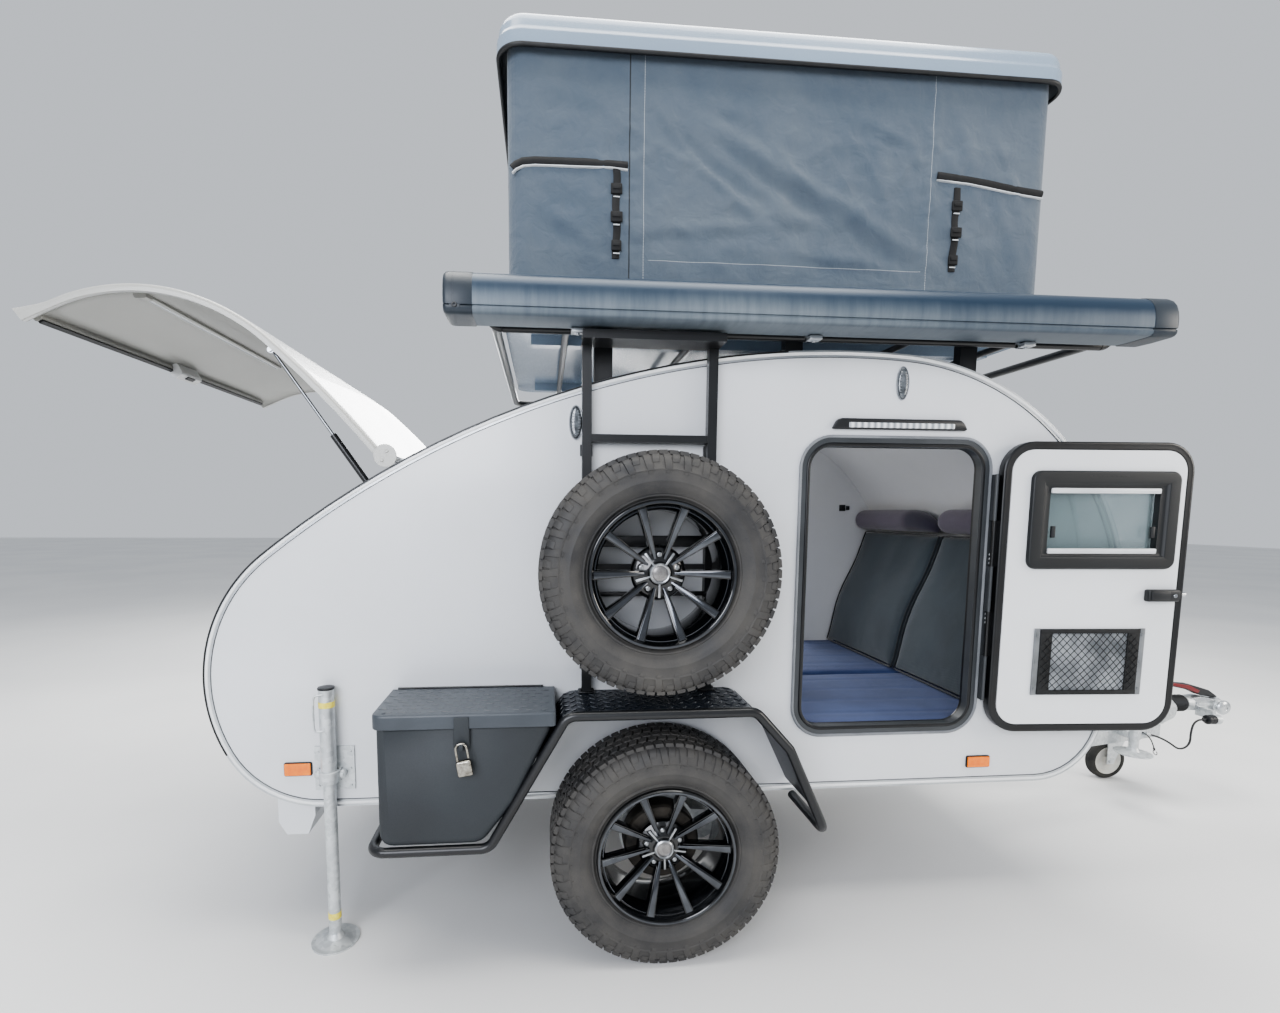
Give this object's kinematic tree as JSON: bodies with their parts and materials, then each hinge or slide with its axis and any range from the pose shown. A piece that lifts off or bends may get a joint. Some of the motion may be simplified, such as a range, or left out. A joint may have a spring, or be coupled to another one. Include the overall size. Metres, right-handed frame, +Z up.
{
  "type": "teardrop trailer",
  "caption": "Teardrop travel trailer with open side doors, raised rear hatch, pop-up roof tent, side awning cassette, spare wheel, toolboxes and V drawbar.",
  "frame": {"origin": "centre of the coupling's ball socket", "axes": "+X runs forward along the trailer, away from the body, +Y to the left, +Z up"},
  "size_m": [5.01, 2.162, 3.03],
  "materials": {
    "body_white": "light grey-white coated aluminium sheet",
    "trim_bright": "bright anodised extrusion",
    "moulding_grey": "light grey moulded shell",
    "rubber_black": "black extruded rubber",
    "plastic_dark": "dark grey moulded plastic",
    "plastic_black": "black moulded plastic",
    "glass_tint": "tinted acrylic pane",
    "steel_black": "black powder coat",
    "steel_galv": "galvanised steel",
    "steel_zinc": "zinc-plated steel",
    "tyre_dusty": "dusty tread rubber",
    "alloy_machined": "machined face over black alloy",
    "box_grey": "dark grey powder coat",
    "tread_plate": "black diamond plate",
    "awning_grey": "anthracite anodised",
    "tent_shell": "light grey moulded shell",
    "tent_canvas": "grey coated canvas",
    "cushion_dark": "dark slate woven upholstery",
    "mattress_blue": "blue-grey woven cover",
    "bolster_grey": "grey-purple woven cover",
    "panel_grey": "light grey faced board",
    "amber_lens": "amber lens",
    "red_lens": "red lens",
    "white_lens": "clear white lens",
    "jockey_rubber": "solid black rubber"
  },
  "bodies": {
    "trailer": {"awning_cassette": "awning_grey", "axle": "steel_galv", "bellows": "rubber_black", "bolsters": "bolster_grey", "breakaway_cable": "rubber_black", "chassis_frame": "steel_galv", "cord_ends": "plastic_black", "coupling_handle": "plastic_black", "coupling_head": "steel_black", "door_frames": "rubber_black", "drawbar": "steel_galv", "edge_trims": "trim_bright", "fender_plates": "tread_plate", "fender_tubes": "steel_black", "floor": "steel_black", "front_panel": "body_white", "furniture": "panel_grey", "hatch_hinge": "trim_bright", "jockey_tube": "steel_galv", "marker_lamps": "amber_lens", "mattresses": "mattress_blue", "plug_lead": "rubber_black", "rim_spare": "alloy_machined", "roof_panel": "body_white", "roof_rack": "steel_black", "seat_backs": "cushion_dark", "side_walls": "body_white", "spare_carrier": "steel_black", "stand_tubes": "steel_galv", "tail_lamps": "red_lens", "tail_panel": "body_white", "tent_base": "tent_shell", "tent_canvas": "tent_canvas", "toolboxes": "box_grey", "tyre_spare": "tyre_dusty", "white_lamps": "white_lens"},
    "door_right": {"door_leaf_right": "body_white", "door_seal_right": "rubber_black", "door_glass_right": "glass_tint", "door_fittings_right": "plastic_dark"},
    "door_left": {"door_leaf_left": "body_white", "door_seal_left": "rubber_black", "door_glass_left": "glass_tint", "door_fittings_left": "plastic_dark"},
    "hatch": {"hatch_shell": "moulding_grey", "hatch_fittings": "plastic_dark"},
    "strut_cylinder": {"strut_cylinders": "steel_black"},
    "strut_rod": {"strut_rods": "steel_zinc"},
    "wheel_right": {"tyre_right": "tyre_dusty", "rim_right": "alloy_machined"},
    "wheel_left": {"tyre_left": "tyre_dusty", "rim_left": "alloy_machined"},
    "box_lid_right": {"toolbox_lid_right": "box_grey"},
    "box_lid_left": {"toolbox_lid_left": "box_grey"},
    "tent_top": {"tent_lid": "tent_shell"},
    "leg_rear_right": {"rear_leg_right": "steel_galv"},
    "leg_rear_left": {"rear_leg_left": "steel_galv"},
    "leg_front": {"front_leg": "steel_galv"},
    "jockey_swivel": {"jockey_fork": "steel_galv"},
    "jockey_roller": {"jockey_wheel": "jockey_rubber"}
  },
  "joints": [
    {"name": "door_right_hinge", "type": "hinge", "parent": "trailer", "child": "door_right", "pos_m": [-1.894, -0.807, 0.715], "axis": [0, 0, 1], "range_deg": [-177, 0]},
    {"name": "door_left_hinge", "type": "hinge", "parent": "trailer", "child": "door_left", "pos_m": [-1.894, 0.807, 0.715], "axis": [0, 0, 1], "range_deg": [0, 177]},
    {"name": "hatch_hinge_turn", "type": "hinge", "parent": "trailer", "child": "hatch", "pos_m": [-3.92537, 0, 1.14105], "axis": [0, 1, 0], "range_deg": [-81, 0]},
    {"name": "strut_swing", "type": "hinge", "parent": "trailer", "child": "strut_cylinder", "pos_m": [-3.93, 0, 0.94], "axis": [0, 1, 0], "range_deg": [-73.43, 0]},
    {"name": "strut_travel", "type": "slide", "parent": "strut_cylinder", "child": "strut_rod", "axis": [-0.5598, 0, 0.8287], "range_m": [-0.2532, 0]},
    {"name": "wheel_right_spin", "type": "hinge", "parent": "trailer", "child": "wheel_right", "pos_m": [-3.06, -0.918, -0.0845], "axis": [0, 1, 0], "continuous": true},
    {"name": "wheel_left_spin", "type": "hinge", "parent": "trailer", "child": "wheel_left", "pos_m": [-3.06, 0.918, -0.0845], "axis": [0, 1, 0], "continuous": true},
    {"name": "box_lid_right_hinge", "type": "hinge", "parent": "trailer", "child": "box_lid_right", "pos_m": [-3.676, -0.7843, 0.3983], "axis": [-1, 0, 0], "range_deg": [0, 53]},
    {"name": "box_lid_left_hinge", "type": "hinge", "parent": "trailer", "child": "box_lid_left", "pos_m": [-3.676, 0.7843, 0.3983], "axis": [1, 0, 0], "range_deg": [0, 85]},
    {"name": "tent_lift", "type": "slide", "parent": "trailer", "child": "tent_top", "axis": [0, 0, 1], "range_m": [-0.74, 0], "deforming": ["tent_canvas"]},
    {"name": "leg_rear_right_slide", "type": "slide", "parent": "trailer", "child": "leg_rear_right", "axis": [0, 0, 1], "range_m": [0, 0.24]},
    {"name": "leg_rear_left_slide", "type": "slide", "parent": "trailer", "child": "leg_rear_left", "axis": [0, 0, 1], "range_m": [0, 0.24]},
    {"name": "leg_front_slide", "type": "slide", "parent": "trailer", "child": "leg_front", "axis": [0, 0, 1], "range_m": [-0.278, 0]},
    {"name": "jockey_swivel_turn", "type": "hinge", "parent": "trailer", "child": "jockey_swivel", "pos_m": [-0.36, 0.16, -0.145], "axis": [0, 0, 1], "continuous": true},
    {"name": "jockey_roller_spin", "type": "hinge", "parent": "jockey_swivel", "child": "jockey_roller", "pos_m": [-0.415, 0.16, -0.345], "axis": [0, 1, 0], "continuous": true}
  ],
  "couplings": [
    {"joint": "strut_swing", "follows": "hatch_hinge_turn", "ratio": 0.88875},
    {"joint": "strut_travel", "follows": "hatch_hinge_turn", "m_per_rad": 0.17561}
  ]
}
